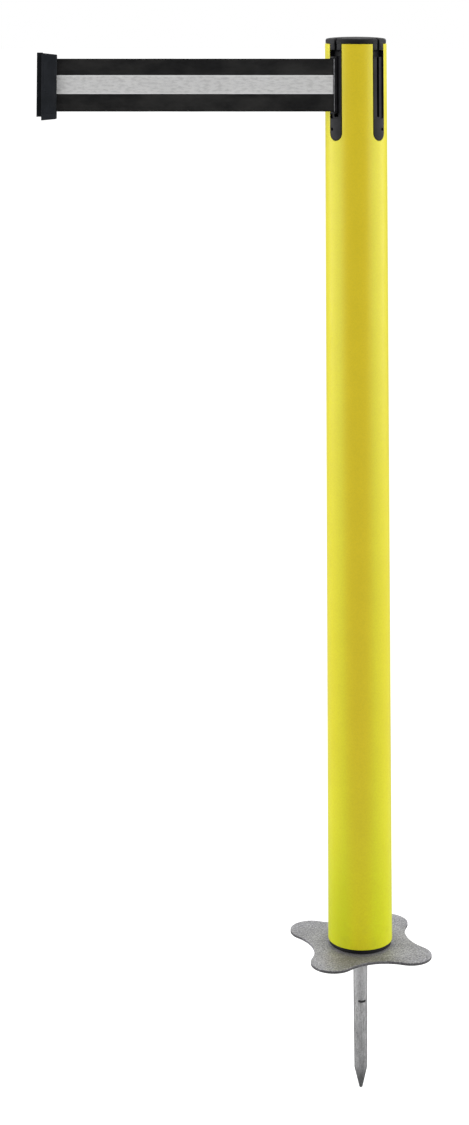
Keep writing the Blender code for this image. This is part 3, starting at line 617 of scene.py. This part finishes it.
def drawn_steel():
    """Hot-rolled round bar with scale rubbed off in streaks along it."""
    paint = Finish("drawn_steel")
    streak = paint.noise(1.0 * MM, 4, paint.stretched(1, 1, 0.2))
    pits = paint.span(paint.noise(1.5 * MM, 4, rough=0.7), 0.50, 0.68)
    patch = paint.span(paint.noise(9 * MM, 5, paint.stretched(1, 1, 0.35)), 0.35, 0.68)
    z = paint.axes()[2]
    tone = paint.mix(paint.span(streak, 0.3, 0.7), (0.46, 0.46, 0.465), (0.78, 0.78, 0.785))
    tone = paint.mix(paint.maths("MULTIPLY", patch, 0.45), tone, (0.26, 0.26, 0.26))
    tone = paint.mix(paint.maths("MULTIPLY", pits, 0.65), tone, (0.11, 0.105, 0.10))
    # painted light: the bar's top, in the plate's shadow, is made lighter
    tone = paint.mix(paint.span(z, 0.07, 0.115, 0.0, 0.5), tone, (0.95, 0.95, 0.955))
    # the lower half and the point are darker, and the bottom of the ground-in notch has painted shade
    tone = paint.mix(paint.span(z, 0.0, 0.10, 0.47, 0.0), tone, (0.12, 0.12, 0.125))
    tone = paint.mix(paint.span(z, 0.008, 0.022, 0.64, 0.0), tone, (0.10, 0.10, 0.105))
    # painted shade: the bar darkens towards its outline
    facing = paint.node("ShaderNodeLayerWeight").outputs["Facing"]
    tone = paint.mix(paint.span(facing, 0.40, 0.85, 0.0, 0.85), tone, (0.07, 0.07, 0.075))
    # painted shade in the bottom of the ground-in notch
    from_notch = paint.maths("ABSOLUTE", paint.maths("SUBTRACT", z, GROUND - NOTCH_BELOW_PLATE))
    notch_shade = paint.maths(
        "MULTIPLY",
        paint.span(from_notch, 1.3 * MM, 1.6 * MM, 1, 0),
        paint.span(paint.from_axis(), 5.7 * MM, 6.15 * MM, 1, 0),
    )
    tone = paint.mix(paint.maths("MULTIPLY", notch_shade, 0.9), tone, (0.02, 0.02, 0.02))
    paint.set(
        Base_Color=tone,
        Metallic=0.25,
        Specular_IOR_Level=0.15,
        Roughness=paint.span(streak, 0.2, 0.8, 0.42, 0.62),
        Normal=paint.bump(streak, 0.05 * MM, paint.bump(pits, 0.05 * MM)),
    )
    return paint.material, "plate_steel"


def weld_metal():
    """Raw bead, dark with straw and blue temper colours."""
    paint = Finish("weld_metal")
    cloud = paint.span(paint.noise(3.5 * MM, 3), 0.3, 0.7)
    tone = paint.mix(cloud, (0.17, 0.15, 0.13), (0.30, 0.26, 0.20))
    blue = paint.span(paint.noise(5 * MM, 2), 0.58, 0.70)
    tone = paint.mix(paint.maths("MULTIPLY", blue, 0.5), tone, (0.13, 0.15, 0.22))
    paint.set(
        Base_Color=tone,
        Metallic=0.8,
        Roughness=paint.span(cloud, 0, 1, 0.38, 0.6),
        Normal=paint.bump(paint.noise(0.5 * MM, 3), 0.04 * MM),
    )
    return paint.material, "weld_steel"


def hardware(name, slot, dark, light, rough, metallic=1.0, grain=0.6 * MM, depth=0.008 * MM, stretch=1.0):
    """Plated or sintered small parts: fine grain, patchy lustre."""
    paint = Finish(name)
    fine = paint.noise(grain, 3, paint.stretched(1, 1, stretch))
    patch = paint.span(paint.noise(4 * MM, 4), 0.3, 0.7)
    tone = paint.mix(patch, dark, light)
    tone = paint.mix(paint.maths("MULTIPLY", paint.span(fine, 0.5, 0.8), 0.35), tone, dark)
    paint.set(
        Base_Color=tone,
        Metallic=metallic,
        Roughness=paint.span(fine, 0.2, 0.8, rough - 0.06, rough + 0.08),
        Normal=paint.bump(fine, depth),
    )
    return paint.material, slot


YELLOW = yellow_pipe()
BLACK = black_moulding("black_moulding")
RECEIVER = receiver_moulding()
CLIP = moulded_plastic(
    "clip_moulding", "clip_plastic", (0.011, 0.0135, 0.017), (0.021, 0.024, 0.030), 0.52, 0.6 * MM, 0.03 * MM
)
SPOOL = moulded_plastic(
    "natural_acetal", "spool_plastic", (0.52, 0.51, 0.47), (0.62, 0.61, 0.57), 0.40, 0.8 * MM, 0.01 * MM
)
BELT = straight_webbing()
ROLL = wound_webbing()
SHEET = rolled_steel()
BAR = drawn_steel()
WELD = weld_metal()
PLATED = hardware("zinc_plate", "bright_steel", (0.50, 0.51, 0.53), (0.66, 0.67, 0.69), 0.30)
PIN = hardware("guide_pin_steel", "bright_steel", (0.16, 0.16, 0.17), (0.30, 0.30, 0.32), 0.38)
BLUED = hardware("blued_strip", "spring_steel", (0.10, 0.12, 0.18), (0.22, 0.25, 0.32), 0.30, stretch=0.1)
BRONZE = hardware("sintered_bronze", "bronze", (0.34, 0.20, 0.09), (0.52, 0.33, 0.15), 0.42, grain=0.3 * MM)
LINING = hardware(
    "brake_lining",
    "brake_lining",
    (0.05, 0.035, 0.03),
    (0.11, 0.08, 0.06),
    0.8,
    metallic=0.0,
    depth=0.03 * MM,
)
BY_SLOT = {
    slot: (material, slot)
    for material, slot in (YELLOW, BLACK, CLIP, SPOOL, BAR, WELD, PLATED, BLUED, BRONZE, LINING, BELT)
}

BY_NODE = {"belt_roll": ROLL, "guide_pin_front": PIN, "guide_pin_rear": PIN}


# ---------------------------------------------------------------- tube


def slot_outline(width, top, bottom, steps=36):
    """A slot open at its top, with a round lower end, in Y and Z."""
    radius = width / 2
    return [(radius, top), (-radius, top), *arc((0, bottom + radius), radius, math.pi, 2 * math.pi, steps)]


def make_tube():
    bore = TUBE_R - TUBE_WALL
    profile = [(bore, TUBE_TOP), (TUBE_R, TUBE_TOP), (TUBE_R, TUBE_BOTTOM), (bore, TUBE_BOTTOM)]
    tube = new_object("tube", lathe(profile, TURN_STEPS, ring=True))
    outline = slot_outline(SLOT_W, below(-5 * MM), below(SLOT_DEPTH))
    carve(tube, *(turned(outward(outline, 18 * MM, 36 * MM), angle) for angle in SLOT_ANGLES))
    clean(tube)
    round_edges(tube, 0.35 * MM)
    show(round_normals(smooth(tube), TUBE_R), YELLOW, "post", "post_tube")


# ---------------------------------------------------------------- receivers and exit

RECEIVER_FACE = 30.45 * MM
RECEIVER_BACK = 22.4 * MM
LIP_FRONT = 28.8 * MM  # the lips follow the tube's curve
LIP_BACK = 26.0 * MM
CHANNEL_BACK = 24.2 * MM
CHANNEL_W = 10 * MM
CHANNEL_END = 70.2 * MM
DETENT_SIDE = 4.4 * MM
RECESS_HALF = 6.8 * MM
WING_HALF = 8.6 * MM
RECEIVER_TOP = 6.1 * MM
NECK_W = 3.3 * MM
EXIT_NECK_W = 5.4 * MM


def t_outline(neck, outer, slack=0.0):
    """The T-shaped channel seen from above: a wide part behind the lips and a neck between them."""
    half, narrow = CHANNEL_W / 2 - slack, neck / 2 - slack
    near, lip = CHANNEL_BACK + slack, LIP_BACK - slack
    return [
        (near, -half),
        (lip, -half),
        (lip, -narrow),
        (outer, -narrow),
        (outer, narrow),
        (lip, narrow),
        (lip, half),
        (near, half),
    ]


def lips_recess(top):
    """The space in front of the two lips, with round corners at its lower end."""
    outside, radius = 36 * MM, 1.5 * MM
    low = below(CHANNEL_END + 1.5 * MM)
    reach = math.asin(RECESS_HALF / LIP_FRONT)
    face = arc((0, 0), LIP_FRONT, reach, -reach, 6)
    outline = [(outside, -RECESS_HALF), (outside, RECESS_HALF), *face]
    recess = new_object("recess", prism(outline, low - MM, top + 2 * MM))
    corner = RECESS_HALF - radius
    shape = [
        (RECESS_HALF, top + MM),
        (-RECESS_HALF, top + MM),
        *arc((-corner, low + radius), radius, math.pi, 1.5 * math.pi, 6),
        *arc((corner, low + radius), radius, 1.5 * math.pi, 2 * math.pi, 6),
    ]
    combine(recess, "INTERSECT", outward(shape, CHANNEL_BACK, outside + MM))
    mesh = recess.data
    bpy.data.objects.remove(recess)
    return mesh


def detent_hole(side):
    """A small hole in the receiver's lower end."""
    hole = rod(1.5 * MM, 27.6 * MM, 36 * MM, segments=32)
    hole.transform(Matrix.Rotation(math.pi / 2, 4, "Y"))
    return moved(hole, y=side * DETENT_SIDE, z=below(DETENT_DEPTH))


def receiver(name, angle, side, neck, *windows):
    low, top = below(SLOT_DEPTH) + GAP, below(RECEIVER_TOP)
    body = new_object(name, outward(slot_outline(SLOT_W - 2 * GAP, top, low), RECEIVER_BACK, 34 * MM))
    combine(body, "INTERSECT", rod(RECEIVER_FACE, low - MM, top + MM, segments=TURN_STEPS))
    wings = box(
        (RECEIVER_BACK, -WING_HALF, low + 5 * MM),
        (CHANNEL_BACK, WING_HALF, top - 0.5 * MM),
    )
    fuse(body, wings)
    pocket = box(
        (CHANNEL_BACK, -RECESS_HALF, below(LIPS_TOP)),
        (36 * MM, RECESS_HALF, top + MM),
    )
    channel = prism(t_outline(neck, 36 * MM), below(CHANNEL_END), top + MM)
    carve(body, lips_recess(top), pocket, channel, detent_hole(side), *windows)
    clean(body)
    round_edges(body, 0.22 * MM, 2)
    turned(body.data, angle)
    show(round_normals(smooth(body), RECEIVER_FACE, LIP_FRONT), RECEIVER, "post", name)


def make_receivers():
    for name, (angle, side) in RECEIVERS.items():
        receiver(name, angle, side, NECK_W)
    window = box(
        (20 * MM, -4.4 * MM, BELT_LOW.z - MM),
        (25 * MM, 1.4 * MM, BELT_HIGH.z + MM),
    )
    receiver("exit_receiver", EXIT, -1, EXIT_NECK_W, window)


def make_exit_guide():
    """The mouthpiece that the belt comes out of, with rolled lips."""
    ear, slack = 1.6 * MM, 0.4 * MM
    low, high = BELT_LOW.z - slack, BELT_HIGH.z + slack
    lip_end, ear_end = 31.8 * MM, 34.5 * MM
    guide = new_object(
        "belt_exit_guide", prism(t_outline(EXIT_NECK_W, ear_end, GAP), low - ear, high + ear)
    )
    slit = box((20 * MM, -0.75 * MM, low), (40 * MM, 0.75 * MM, high))
    front = box((lip_end, -4 * MM, low), (40 * MM, 4 * MM, high))
    carve(guide, slit, front)
    clean(guide)
    round_edges(guide, 0.3 * MM, 3)
    turned(guide.data, EXIT)
    show(smooth(guide), BLACK, "post", "belt_exit_guide")


# ---------------------------------------------------------------- cap


def make_top_cap():
    radius, bore = 29.6 * MM, TUBE_R - TUBE_WALL - GAP
    top, rim, seat, low, core = (below(depth * MM) for depth in (-6.6, -4.4, -0.3, 5.8, 9.3))
    crown = [
        (0.985 * radius * math.sin(a), rim + (top - rim) * math.cos(a))
        for a in (math.pi / 2 * i / 14 for i in range(14))
    ]
    shoulder = arc((radius - 0.9 * MM, rim - 1.1 * MM), 0.9 * MM, math.radians(70), 0, 5)
    side = [(radius, seat), (bore, seat), (bore, low)]
    # a ring that reaches down to the bearing plate, round the axle's top
    side += [(21.5 * MM, low), (21.5 * MM, core), (7 * MM, core), (7 * MM, low), (0, low)]
    cap = new_object("top_cap", lathe(crown + shoulder + side, TURN_STEPS))
    tabs = [
        turned(box((22 * MM, -7.3 * MM, low), (29.2 * MM, 7.3 * MM, below(-2 * MM))), angle)
        for angle in SLOT_ANGLES
    ]
    fuse(cap, *tabs)
    notches = [
        turned(prism(t_outline(0.8 * NECK_W, 36 * MM), below(12 * MM), below(-12 * MM)), angle)
        for angle in SLOT_ANGLES
    ]
    carve(
        cap,
        *notches,
        rod(2.4 * MM, below(10 * MM), below(-10 * MM)),
        rod(4.8 * MM, below(-3.4 * MM), below(-10 * MM)),
    )
    clean(cap)
    round_edges(cap, 0.25 * MM, 2)
    show(round_normals(smooth(cap), radius), BLACK, "post", "top_cap")


def make_bottom_plug():
    """The plug's rim shows as a black line under the tube."""
    low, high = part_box("bottom_plug")
    rim, bore = high.x, TUBE_R - TUBE_WALL - GAP
    rim_top = TUBE_BOTTOM - GAP
    socket = 5.6 * MM
    profile = [
        (socket, high.z),
        (bore - 0.8 * MM, high.z),
        (bore, high.z - 0.8 * MM),
        (bore, rim_top),
        (rim - 0.3 * MM, rim_top),
        (rim, rim_top - 0.3 * MM),
        (rim, low.z + 0.3 * MM),
        (rim - 0.3 * MM, low.z),
        (socket, low.z),
    ]
    plug = new_object("bottom_plug", lathe(profile, 160, ring=True))
    nut_seat = GROUND + 15 * MM
    carve(
        plug,
        rod(17.7 * MM / math.sqrt(3), nut_seat, high.z + MM, segments=6),
        rod(12 * MM, nut_seat + 8.6 * MM, high.z + MM, segments=64),
    )
    clean(plug)
    show(smooth(plug), BLACK, "post", "bottom_plug")


# ---------------------------------------------------------------- base


def plate_outline(lobe_steps, hollow_steps):
    """Four round lobes, each joined to the next by a hollow arc that meets both smoothly."""
    lobe_centre, lobe_r, waist = 52.5 * MM, 20.5 * MM, 46.4 * MM
    turn = math.radians(-31.8)
    root2 = math.sqrt(2)
    hollow = (lobe_centre**2 + waist**2 - root2 * lobe_centre * waist - lobe_r**2) / (
        root2 * lobe_centre + 2 * lobe_r - 2 * waist
    )
    far = waist + hollow
    spread = math.atan2(far / root2, far / root2 - lobe_centre)
    points = []
    for quarter in range(4):
        ahead = turn + quarter * math.pi / 2
        lobe = (lobe_centre * math.cos(ahead), lobe_centre * math.sin(ahead))
        points += arc(lobe, lobe_r, ahead - spread, ahead + spread, lobe_steps)
        between = ahead + math.pi / 4
        hub = (far * math.cos(between), far * math.sin(between))
        start = ahead + spread + math.pi
        end = ahead + 1.5 * math.pi - spread
        points += arc(hub, hollow, start, end, hollow_steps)[1:-1]
    return points


def make_base_plate():
    plate = new_object("base_plate", prism(plate_outline(56, 32), GROUND, PLATE_TOP))
    carve(
        plate,
        rod(5.3 * MM, GROUND - MM, PLATE_TOP + MM),
        rod(12.15 * MM, GROUND - MM, GROUND + 0.4 * MM, segments=96),
    )
    clean(plate)
    round_edges(plate, 0.35 * MM, 3)
    show(smooth(plate), SHEET, "post", "base_plate")


def make_spike():
    """A round bar, slightly uneven, turned to a blunt point."""
    low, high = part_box("ground_spike")
    stud_r, top_r, low_r, tip_r = 5.0 * MM, 6.75 * MM, 6.0 * MM, 1.6 * MM
    shoulder, cone = GROUND - GAP, 18.5 * MM
    shank = [
        (top_r + (low_r - top_r) * share, shoulder + (cone - shoulder) * share)
        for share in (i / 60 for i in range(61))
    ]
    point = [
        (low_r + (tip_r - low_r) * share, cone + (0.9 * MM - cone) * share)
        for share in (i / 12 for i in range(1, 13))
    ]
    profile = [
        (0, high.z),
        (stud_r - MM, high.z),
        (stud_r, high.z - MM),
        (stud_r, shoulder),
        *shank,
        *point,
        (0.7 * tip_r, 0.2 * MM),
        (0.4 * tip_r, 0),
        (0, 0),
    ]
    spike = new_object("ground_spike", lathe(profile, 72))
    for vertex in spike.data.vertices:
        place = vertex.co
        radius = place.to_2d().length
        if place.z < shoulder - MM and radius > MM:
            swell = noise.noise(Vector((place.x, place.y, 0.3 * place.z)) / (7 * MM))
            push = 1 + 0.12 * MM * swell / radius
            vertex.co = (place.x * push, place.y * push, place.z)
    notch = rod(NOTCH_R, -9 * MM, 9 * MM, segments=40)
    notch.transform(Matrix.Rotation(math.pi / 2, 4, "Y"))
    moved(notch, y=-NOTCH_DISTANCE, z=GROUND - NOTCH_BELOW_PLATE)
    turned(notch, math.radians(14))
    carve(spike, notch)
    show(smooth(spike, 34), BAR, "post", "ground_spike")


def make_weld():
    """A fillet bead round the top of the spike, laid down in overlapping ripples."""
    inner, leg, ripples, segments = 7.05 * MM, 3.4 * MM, 26, 234
    section = [
        (inner, GROUND - GAP),
        (inner + 0.96 * leg, GROUND - GAP),
        (inner + 0.90 * leg, GROUND - 0.16 * leg),
        (inner + 0.72 * leg, GROUND - 0.36 * leg),
        (inner + 0.52 * leg, GROUND - 0.54 * leg),
        (inner + 0.33 * leg, GROUND - 0.75 * leg),
        (inner + 0.14 * leg, GROUND - 0.92 * leg),
        (inner, GROUND - 0.97 * leg),
    ]
    bead = new_object("spike_weld", lathe(section, segments, ring=True))
    for vertex in bead.data.vertices:
        place = vertex.co
        radius = place.to_2d().length
        if radius > inner + 0.05 * leg and place.z < GROUND - 0.1 * leg:
            angle = math.atan2(place.y, place.x)
            wave = math.sin(ripples * angle + 2.2 * (place.z - GROUND) / leg * math.pi)
            push = 1 + 0.14 * MM * wave / radius
            vertex.co = (place.x * push, place.y * push, place.z)
    show(smooth(bead, 60), WELD, "post", "spike_weld")


# ---------------------------------------------------------------- belt


def belt_strip(path, name):
    """Webbing along a path of (x, y) points: thick selvedges, and shallow ribs beside the band."""
    half, width = 0.225 * MM, BELT_HIGH.z - BELT_LOW.z
    rows = 72
    ribs = 0.184 * width
    shape = bmesh.new()
    sides = ([], [])
    last = len(path) - 1
    for number, (x, y) in enumerate(path):
        before, after = path[max(number - 1, 0)], path[min(number + 1, last)]
        along = math.atan2(after[1] - before[1], after[0] - before[0])
        for side, sign in zip(sides, (1, -1)):
            column = []
            for row in range(rows + 1):
                rise = width * (row / rows - 0.5)
                from_edge = width / 2 - abs(rise)
                thick = half * (0.80 + 0.20 * math.exp(-((from_edge - 0.8 * MM) / (0.7 * MM)) ** 2))
                thick *= min(1, 0.35 + from_edge / (0.45 * MM))
                thick *= 1 - 0.14 * math.exp(-(((abs(rise) - ribs) / (0.35 * MM)) ** 2))
                reach = sign * thick
                column.append(
                    shape.verts.new(
                        (
                            x - reach * math.sin(along),
                            y + reach * math.cos(along),
                            BELT_MIDDLE.z + rise,
                        )
                    )
                )
            side.append(column)
    for side, order in zip(sides, (1, -1)):
        for first, second in zip(side, side[1:]):
            for row in range(rows):
                corners = [first[row], second[row], second[row + 1], first[row + 1]]
                shape.faces.new(corners[::order])
    left, right = sides
    for number in range(last):
        for row, order in ((0, -1), (rows, 1)):
            corners = [left[number][row], left[number + 1][row], right[number + 1][row], right[number][row]]
            shape.faces.new(corners[::order])
    for end, order in ((0, 1), (last, -1)):
        for row in range(rows):
            corners = [left[end][row], left[end][row + 1], right[end][row + 1], right[end][row]]
            shape.faces.new(corners[::order])
    bmesh.ops.recalc_face_normals(shape, faces=shape.faces)
    return new_object(name, mesh_of(shape, name))


def make_belt():
    """The drawn-out belt. It is fast to the clip at one end and comes from the exit at the other."""
    start, end = PIVOT.x, BELT_LOW.x
    steps = 200
    path = [(start + (end - start) * i / steps, PIVOT.y) for i in range(steps + 1)]
    belt = belt_strip(path, "belt_webbing")
    for vertex in belt.data.vertices:
        share = (vertex.co.x - start) / (end - start)
        calm = math.sin(math.pi * min(1, max(0, share))) ** 0.5
        sway = noise.noise(Vector((share * 4.2, 0.3, (vertex.co.z - BELT_MIDDLE.z) * 9)))
        vertex.co.y += 0.45 * MM * calm * sway
        vertex.co.z += 0.10 * MM * calm * noise.noise(Vector((share * 9, 4.1, 0)))
    show(smooth(belt, 70), BELT, None, "belt_webbing")
    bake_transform(belt)


def make_belt_inner():
    """The belt from the roll to the guide pins, with a round end on the swing axis."""
    side, along = ROLL_R / math.sqrt(2), 3.3 * MM
    mouth, pivot = 24.6 * MM, PIVOT.to_2d().length
    low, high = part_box("belt_inner")
    path = [
        (side + along, -side + along),
        (mouth - 2.2 * MM, -2.2 * MM),
        (mouth - 0.9 * MM, -0.95 * MM),
        (mouth - 0.2 * MM, -0.42 * MM),
        (mouth + 0.5 * MM, -0.13 * MM),
        (mouth + 1.4 * MM, 0),
        *((mouth + 1.4 * MM + (pivot - mouth - 1.4 * MM) * i / 6, 0) for i in range(1, 7)),
    ]
    turn = Matrix.Rotation(EXIT, 2)
    path = [tuple(turn @ Vector(point)) for point in path]
    inner = belt_strip(path, "belt_inner")
    show(smooth(inner, 70), BELT, "post", "belt_inner")


def make_belt_loop():
    """The belt's end, sewn round the clip's pin."""
    pin_low, pin_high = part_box("belt_anchor_pin")
    pin = (pin_low + pin_high) / 2
    around = 0.8 * MM + GAP + 0.225 * MM
    path = [(BELT_LOW.x, PIVOT.y), (CLIP_HIGH.x - 1.1 * MM, PIVOT.y)]
    path += [(CLIP_HIGH.x - 1.1 * MM - 1.2 * MM * i, PIVOT.y) for i in range(1, 6)]
    path += [(pin.x + 2.6 * MM, PIVOT.y)]
    path += arc((pin.x, pin.y), around, math.radians(60), math.radians(300), 20)
    loop = belt_strip(path, "belt_end_loop")
    show(smooth(loop, 70), BELT, "belt_clip", "belt_end_loop")


# ---------------------------------------------------------------- clip


def make_clip():
    """The clip's body with its T-rail, a shallow panel, a rib and a round boss on its front."""
    x, y, half = CLIP_HIGH.x, PIVOT.y, 4.2 * MM
    length = 14.7 * MM
    outline = [
        (0, below(71.8 * MM)),
        (0, below(10.2 * MM)),
        (-length, below(8.6 * MM)),
        (-length, below(73.2 * MM)),
    ]
    clip = new_object("clip_body", lengthways(outline, -half, half))
    round_edges(clip, 0.7 * MM, 4)
    rail_low, rail_top = below(69.7 * MM), below(8.1 * MM)
    neck = box((-length - 3.6 * MM, -1.4 * MM, rail_low), (-length + MM, 1.4 * MM, rail_top))
    rail = box((-length - 4.4 * MM, -4.6 * MM, rail_low), (-length - 3.5 * MM, 4.6 * MM, rail_top))
    rib = box((-12.2 * MM, -half - 0.30 * MM, below(41 * MM)), (-9.0 * MM, -half + MM, below(17 * MM)))
    boss = rod(1.5 * MM, -MM, 0.35 * MM, segments=40)
    boss.transform(Matrix.Rotation(math.pi / 2, 4, "X"))
    boss = moved(boss, -10.6 * MM, -half, below(45.4 * MM))
    fuse(clip, neck, rail, rib, boss)
    pocket_low, pocket_high = BELT_LOW.z - 0.2 * MM, BELT_HIGH.z + 0.2 * MM
    cutters = [
        box((-length + 3 * MM, -2.2 * MM, pocket_low), (-2 * MM, half - 1.9 * MM, pocket_high)),
        box(
            (-length + 1.6 * MM, half - 1.8 * MM, below(70.8 * MM)),
            (-1.2 * MM, half + MM, below(11.2 * MM)),
        ),
        box((-3 * MM, -0.6 * MM, pocket_low), (MM, 0.6 * MM, pocket_high)),
        box((-8.0 * MM, -half - MM, below(60 * MM)), (-2.0 * MM, -half + 0.35 * MM, below(17 * MM))),
        box((-length + MM, -half - MM, below(66.6 * MM)), (MM, -half + 0.3 * MM, below(66.1 * MM))),
    ]
    dimple = rod(0.7 * MM, -2 * MM, 2 * MM, segments=32)
    dimple.transform(Matrix.Rotation(math.pi / 2, 4, "X"))
    cutters.append(moved(dimple, -10.6 * MM, -half - 2.0 * MM, below(45.4 * MM)))
    for depth in (12.75 * MM, 67.9 * MM):
        hole = rod(0.9 * MM, -half - MM, half - 2 * MM, segments=24)
        hole.transform(Matrix.Rotation(math.pi / 2, 4, "X"))
        cutters.append(moved(hole, (-length + 0.4 * MM) / 2, 0, below(depth)))
    carve(clip, *cutters)
    clean(clip)
    round_edges(clip, 0.18 * MM, 2, 50)
    moved(clip.data, x, y)
    show(smooth(clip), CLIP, "belt_clip", "clip_body")


# ---------------------------------------------------------------- the other CAD nodes


def refine(node, edge=0.15 * MM):
    """A CAD node's own shape with its planes joined, its edges rounded and its round sides smooth."""
    source = frame["nodes"][node]
    piece = new_object(f"{node}_fine", source.data.copy())
    clean(piece, 1.0)
    if edge:
        round_edges(piece, edge, 2, 35)
    body = source["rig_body"]
    slot = next(part["material_slot"] for part in frame["record"]["subparts"] if part["node"] == node)
    finish = BY_NODE.get(node, BY_SLOT[slot])
    show(smooth(piece), finish, body, node)


def make_inner_parts():
    for name, node in frame["nodes"].items():
        if not node.hide_render:
            refine(name)


# ---------------------------------------------------------------- floor, light and camera


def make_floor():
    """A pale floor that stays white to the camera, with only a trace of shadow on it."""
    shape = bmesh.new()
    bmesh.ops.create_grid(shape, x_segments=1, y_segments=1, size=40)
    floor = new_object("floor", mesh_of(shape))
    floor.location.z = -0.4 * MM
    paint = Finish("pale_floor")
    tone = paint.mix(paint.noise(0.4, 2), (0.36, 0.36, 0.36), (0.40, 0.40, 0.40))
    seen = paint.node("ShaderNodeLightPath").outputs["Is Camera Ray"]
    paint.set(
        Base_Color=tone,
        Roughness=0.9,
        Specular_IOR_Level=0.1,
        Emission_Color=(1, 1, 1, 1),
        Emission_Strength=paint.maths("MULTIPLY", seen, 0.86),
    )
    floor.data.materials.append(paint.material)


def make_world():
    """A studio room: white to the camera, and as a light dim in front and brighter behind and above."""
    world = bpy.data.worlds.new("studio")
    bpy.context.scene.world = world
    world.use_nodes = True
    tree = world.node_tree
    tree.nodes.clear()

    def node(kind, *inputs, **settings):
        made = tree.nodes.new(kind)
        for name, value in settings.items():
            setattr(made, name, value)
        for number, value in enumerate(inputs):
            if isinstance(value, bpy.types.NodeSocket):
                tree.links.new(value, made.inputs[number])
            elif value is not None:
                made.inputs[number].default_value = value
        return made.outputs

    way = node("ShaderNodeSeparateXYZ", node("ShaderNodeTexCoord")["Generated"])
    behind = node("ShaderNodeMapRange", way[1], -0.2, 0.9, 0.16, 0.62)
    above = node("ShaderNodeMapRange", way[2], 0.0, 1.0, 0.0, 0.5)
    strength = node("ShaderNodeMath", behind[0], above[0], operation="ADD")
    light = node("ShaderNodeBackground", (1, 1, 1, 1), strength[0])
    seen = node("ShaderNodeBackground", (1, 1, 1, 1), 1.0)
    share = node("ShaderNodeLightPath")["Is Camera Ray"]
    node("ShaderNodeOutputWorld", node("ShaderNodeMixShader", share, light[0], seen[0])[0])


def soft_box(name, start, end, distance, low, high, power):
    """A tall soft box beside the post, between two azimuths in degrees from the camera's side."""
    middle, half = math.radians((start + end) / 2), math.radians(abs(end - start) / 2)
    data = bpy.data.lights.new(name, "AREA")
    data.shape = "RECTANGLE"
    data.size = 2 * distance * math.tan(half)
    data.size_y = high - low
    data.energy = power * data.size * data.size_y
    light = new_object(name, data)
    light.visible_camera = False
    light.location = (distance * math.sin(middle), -distance * math.cos(middle), (low + high) / 2)
    light.rotation_euler = (math.pi / 2, 0, middle)


def make_lights():
    soft_box("right_box", 42, 122, 3.2, 0.0, 4.8, 5.9)
    soft_box("left_box", -50, -124, 3.2, 0.0, 4.8, 6.1)


def make_camera():
    """Level in its framing: the camera stands left of the post and looks up a little, shifted down."""
    camera = bpy.data.cameras.new("camera")
    camera.lens = 71.8
    camera.sensor_width = 36
    stand = new_object("camera", camera)
    spot = Vector((-0.1187, -2.210, GROUND + 0.893))
    stand.location = spot
    stand.rotation_euler = (math.pi / 2 + 0.0915, 0, 0)
    bpy.context.scene.camera = stand
    # other views of the object move this camera, and need it without the shift
    shift = camera.driver_add("shift_y").driver
    for name, path in (("x", "location.x"), ("y", "location.y")):
        variable = shift.variables.new()
        variable.name = name
        variable.targets[0].id = stand
        variable.targets[0].data_path = path
    shift.expression = f"-0.6878 if abs(x - {spot.x:.4f}) + abs(y - {spot.y:.4f}) < 0.001 else 0"
    bpy.context.scene.view_settings.view_transform = "Standard"


make_tube()
make_receivers()
make_exit_guide()
make_top_cap()
make_bottom_plug()
make_base_plate()
make_spike()
make_weld()
make_belt()
make_belt_inner()
make_belt_loop()
make_clip()
make_inner_parts()
make_floor()
make_world()
make_lights()
make_camera()
